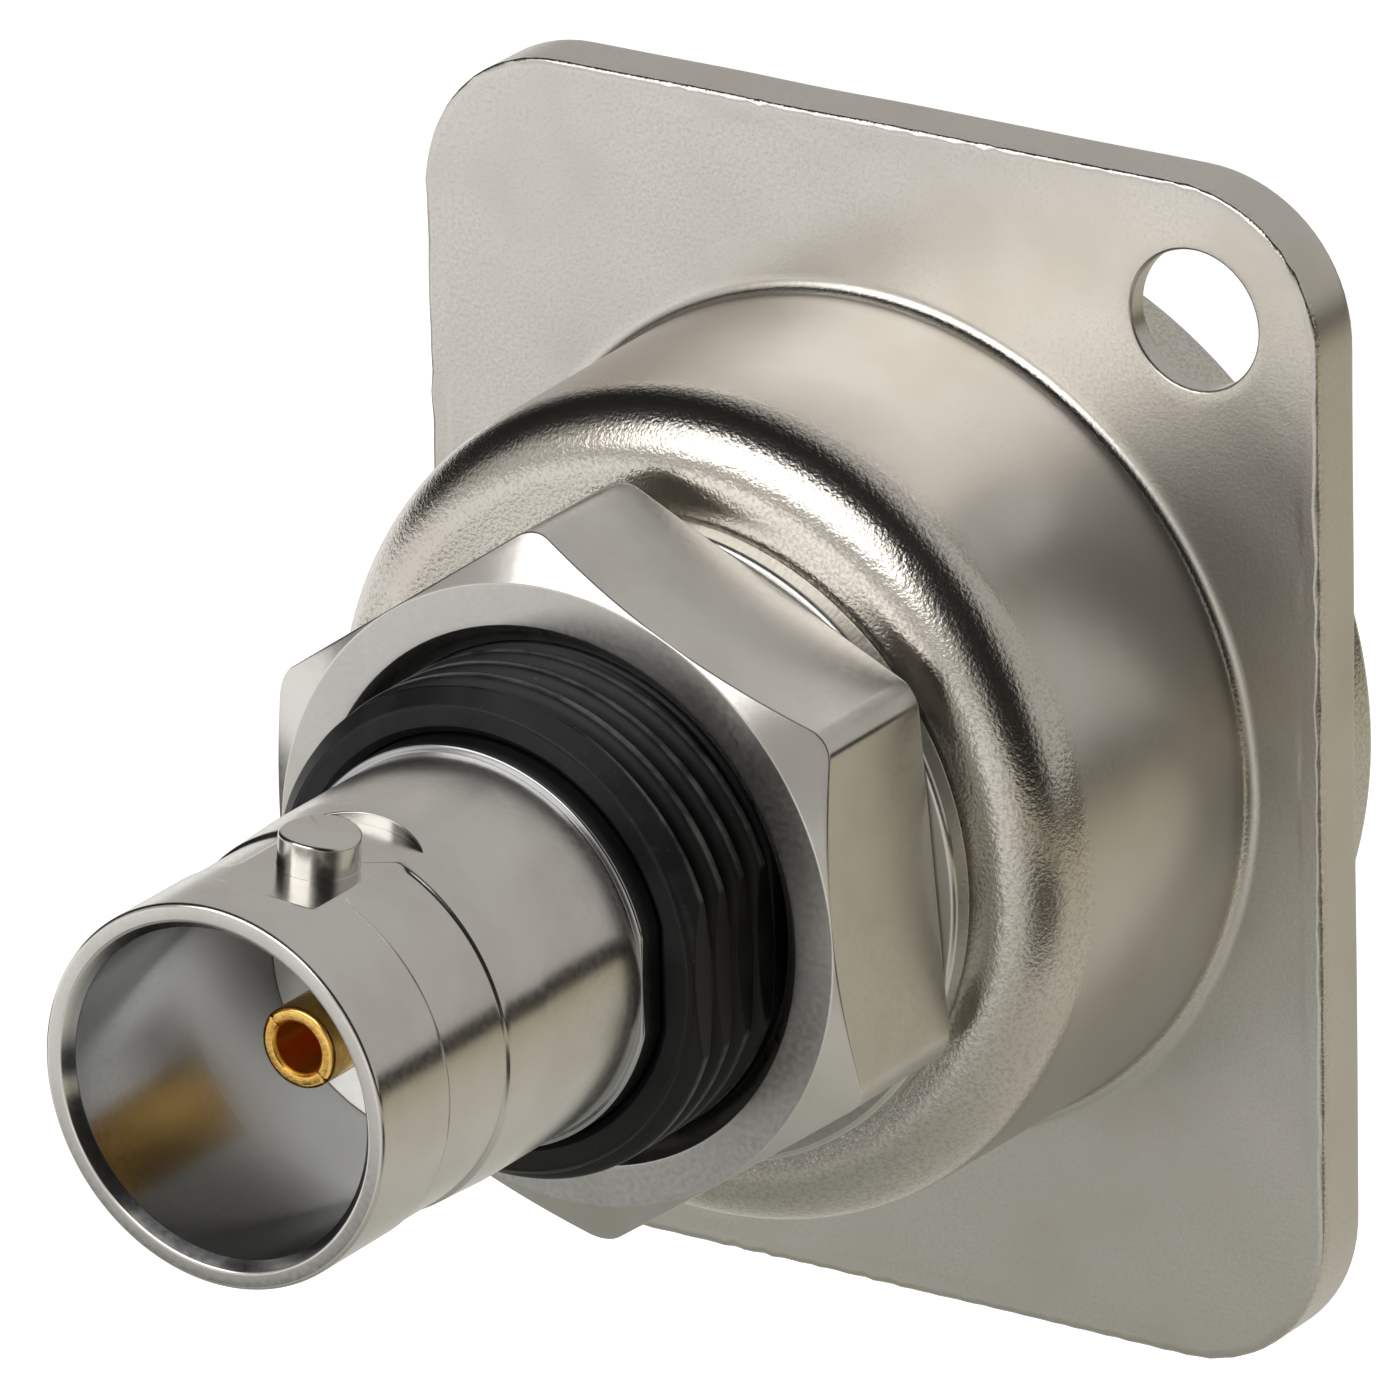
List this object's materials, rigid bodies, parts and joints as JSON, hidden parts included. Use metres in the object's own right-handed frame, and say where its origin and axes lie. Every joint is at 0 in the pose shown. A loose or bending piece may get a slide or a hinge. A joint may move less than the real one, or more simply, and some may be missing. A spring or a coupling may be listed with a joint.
{
  "type": "panel-mount bayonet coaxial feed-through",
  "caption": "Flanged panel feed-through joining two bayonet coaxial jacks, set in an insulating bushing that a washer and hex nut clamp in a die-cast cup.",
  "frame": {"origin": "on the jack axis, in the plane of the flange face that lies on the panel", "axes": "+Y along the jack axis towards the user's side, +Z along the flange's longer side, +X along its shorter side"},
  "size_m": [0.026, 0.0338, 0.031],
  "materials": {
    "satin_nickel": "satin nickel on die-cast zinc, faintly grained",
    "black_plastic": "matt black moulded plastic",
    "bright_nickel": "bright nickel on turned brass",
    "white_insulator": "white turned fluoropolymer",
    "gold_plate": "gold-plated spring alloy"
  },
  "bodies": {
    "root": {"housing": "satin_nickel", "insulating_bushing": "black_plastic", "flat_washer": "bright_nickel", "hex_nut": "bright_nickel", "rear_jack_body": "bright_nickel", "front_jack_body": "bright_nickel", "rear_dielectric": "white_insulator", "front_dielectric": "white_insulator", "centre_contact": "gold_plate"}
  },
  "joints": []
}
